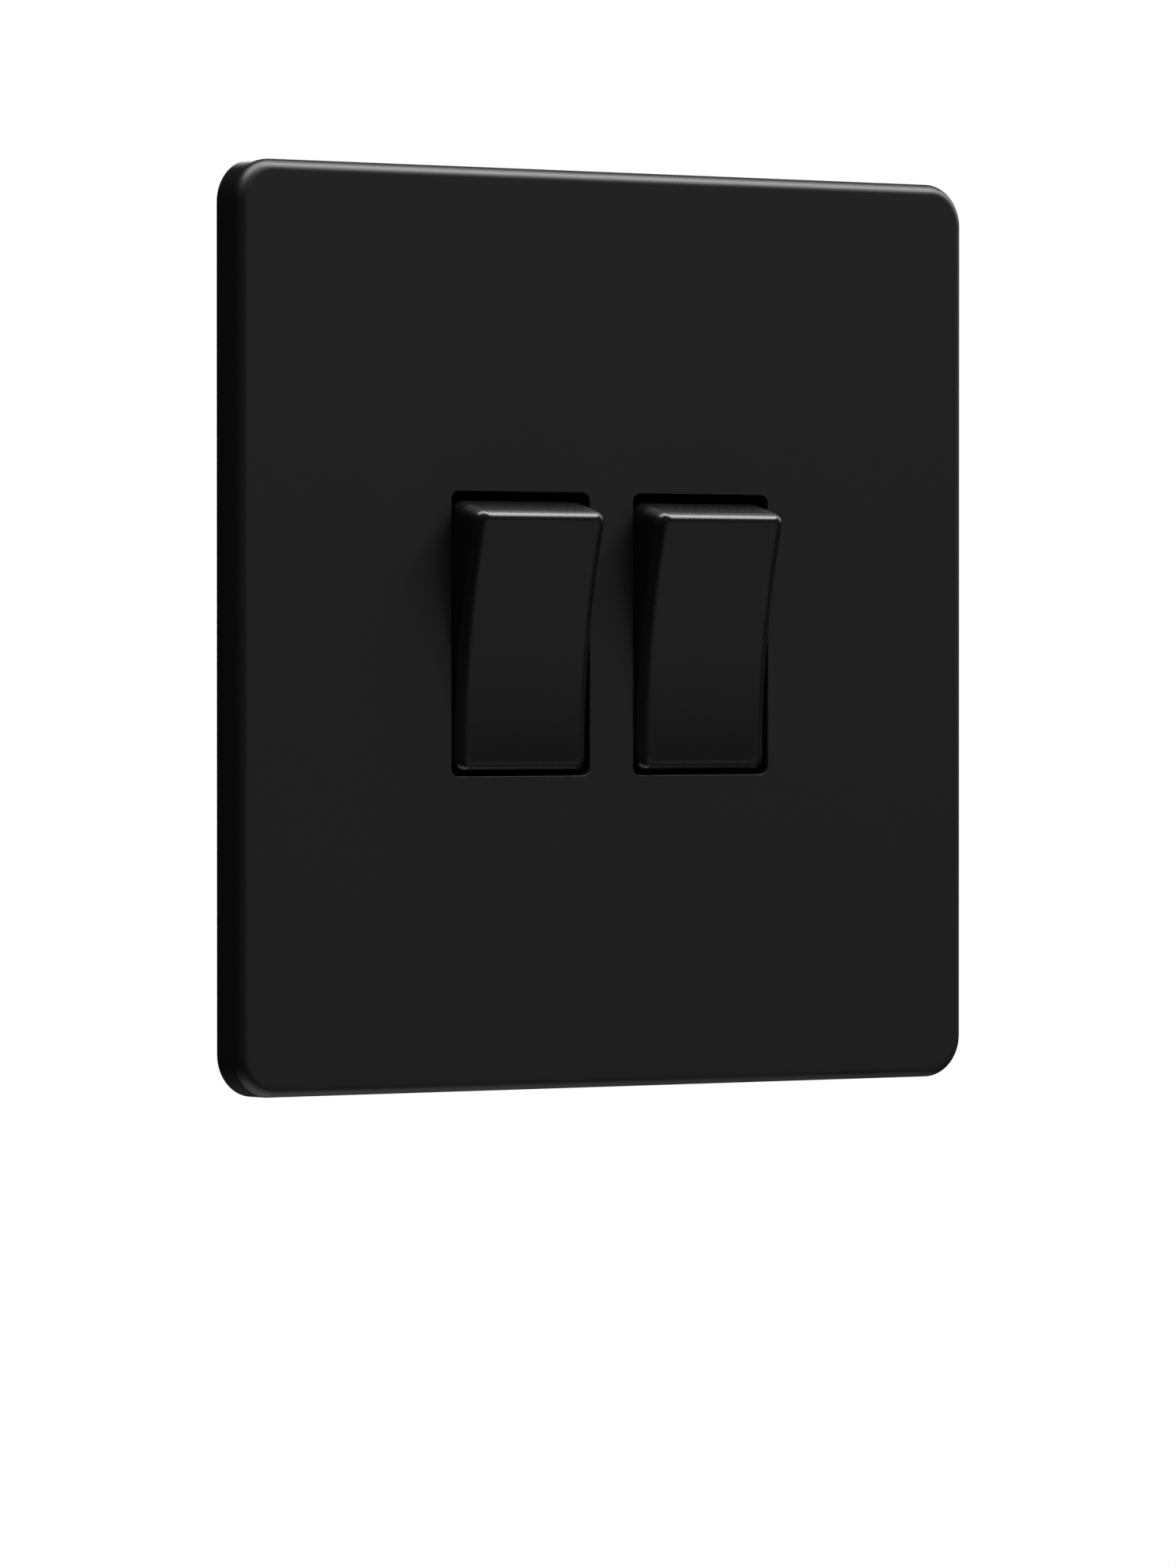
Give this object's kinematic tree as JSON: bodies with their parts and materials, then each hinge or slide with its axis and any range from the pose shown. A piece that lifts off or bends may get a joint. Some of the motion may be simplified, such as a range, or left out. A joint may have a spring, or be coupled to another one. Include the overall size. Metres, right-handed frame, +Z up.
{
  "type": "rocker wall switch",
  "caption": "Flush square wall switch: rocker levers side by side in a thin black screwless plate, with mounting yoke, switch mechanisms and screw terminals behind.",
  "frame": {"origin": "middle of the front plate's square, on the wall plane that the plate's rim and the yoke's fixing pads rest on", "axes": "+Y into the wall, -Y towards the user, X to the right as the user sees it, +Z up"},
  "size_m": [0.086, 0.0221, 0.086],
  "materials": {
    "plate": "matt black powder coat",
    "rocker": "satin black moulding",
    "carrier": "dark moulding",
    "zinc_steel": "bright zinc plate",
    "gasket": "closed-cell foam",
    "brass": "turned brass",
    "zinc_screw": "bright zinc plate",
    "nylon": "natural nylon",
    "spring_steel": "spring wire",
    "copper": "copper alloy strip",
    "housing": "black moulding",
    "cover": "light grey moulding"
  },
  "bodies": {
    "base": {"clip_frame": "carrier", "support_frame": "zinc_steel", "wall_gasket": "gasket", "earth_terminal": "brass", "earth_screw": "zinc_screw", "fixing_screw_left": "zinc_screw", "fixing_screw_right": "zinc_screw", "module_housing_left": "housing", "rear_cover_left": "cover", "terminal_common_left": "brass", "terminal_one_left": "brass", "terminal_two_left": "brass", "terminal_screw_common_left": "zinc_screw", "terminal_screw_one_left": "zinc_screw", "terminal_screw_two_left": "zinc_screw", "module_housing_right": "housing", "rear_cover_right": "cover", "terminal_common_right": "brass", "terminal_one_right": "brass", "terminal_two_right": "brass", "terminal_screw_common_right": "zinc_screw", "terminal_screw_one_right": "zinc_screw", "terminal_screw_two_right": "zinc_screw"},
    "plate": {"face_plate": "plate"},
    "rocker_left": {"rocker_left": "rocker", "plunger_spring_left": "spring_steel"},
    "plunger_left": {"plunger_left": "nylon"},
    "contact_left": {"moving_contact_left": "copper"},
    "rocker_right": {"rocker_right": "rocker", "plunger_spring_right": "spring_steel"},
    "plunger_right": {"plunger_right": "nylon"},
    "contact_right": {"moving_contact_right": "copper"}
  },
  "joints": [
    {"name": "plate_lift_off", "type": "slide", "parent": "base", "child": "plate", "axis": [0, -1, 0], "range_m": [0, 0.015]},
    {"name": "rocker_left_tip", "type": "hinge", "parent": "base", "child": "rocker_left", "pos_m": [-0.01066, -0.0001, -0.00044], "axis": [1, 0, 0], "range_deg": [-15.5, 0]},
    {"name": "contact_left_tip", "type": "hinge", "parent": "base", "child": "contact_left", "pos_m": [-0.01066, 0.0094, -0.00044], "axis": [1, 0, 0], "range_deg": [0, 21.5]},
    {"name": "plunger_left_slide", "type": "slide", "parent": "rocker_left", "child": "plunger_left", "axis": [0, -0.9909, -0.1349], "range_m": [0, 0.0003], "stiffness_N_per_m": 400},
    {"name": "rocker_right_tip", "type": "hinge", "parent": "base", "child": "rocker_right", "pos_m": [0.01066, -0.0001, -0.00044], "axis": [1, 0, 0], "range_deg": [-15.5, 0]},
    {"name": "contact_right_tip", "type": "hinge", "parent": "base", "child": "contact_right", "pos_m": [0.01066, 0.0094, -0.00044], "axis": [1, 0, 0], "range_deg": [0, 21.5]},
    {"name": "plunger_right_slide", "type": "slide", "parent": "rocker_right", "child": "plunger_right", "axis": [0, -0.9909, -0.1349], "range_m": [0, 0.0003], "stiffness_N_per_m": 400}
  ],
  "couplings": [
    {"joint": "contact_left_tip", "follows": "rocker_left_tip", "ratio": -1.3871},
    {"joint": "contact_right_tip", "follows": "rocker_right_tip", "ratio": -1.3871}
  ]
}
